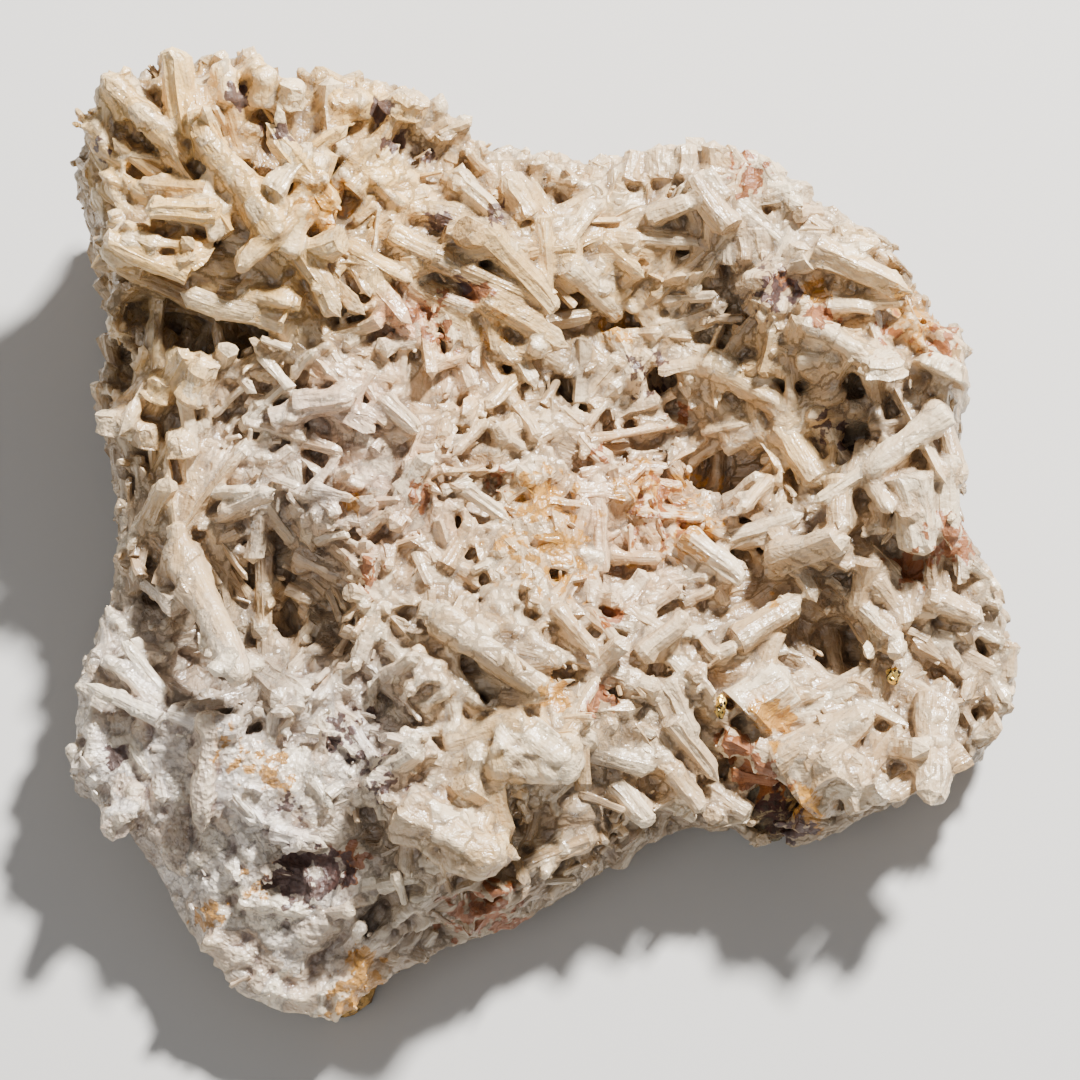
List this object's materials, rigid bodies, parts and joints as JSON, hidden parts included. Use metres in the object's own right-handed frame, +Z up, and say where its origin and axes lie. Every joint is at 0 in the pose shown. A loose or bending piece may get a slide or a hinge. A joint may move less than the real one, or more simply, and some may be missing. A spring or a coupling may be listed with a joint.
{
  "type": "cerussite specimen",
  "caption": "Mineral specimen: a slab of intergrown white to cream cerussite prisms on flat-cut iron-stained gossan, with small brassy sulphide grains.",
  "frame": {"origin": "middle of the specimen's bounding box, on the flat cut face that it rests on", "axes": "+Z up out of the slab, +Y towards the straight knobbed edge at the top of the picture, +X to the picture's right"},
  "size_m": [0.119, 0.1172, 0.0487],
  "materials": {
    "cerussite": "white to cream crystal, adamantine to silky, with iron stains",
    "gossan": "earthy brown to ochre iron oxide rock, matt",
    "sulphide": "tarnished brassy metallic grain"
  },
  "bodies": {
    "root": {"cerussite_crystals": "cerussite", "gossan_matrix": "gossan", "sulphide_grain_upright": "sulphide", "sulphide_grain_right": "sulphide"}
  },
  "joints": []
}
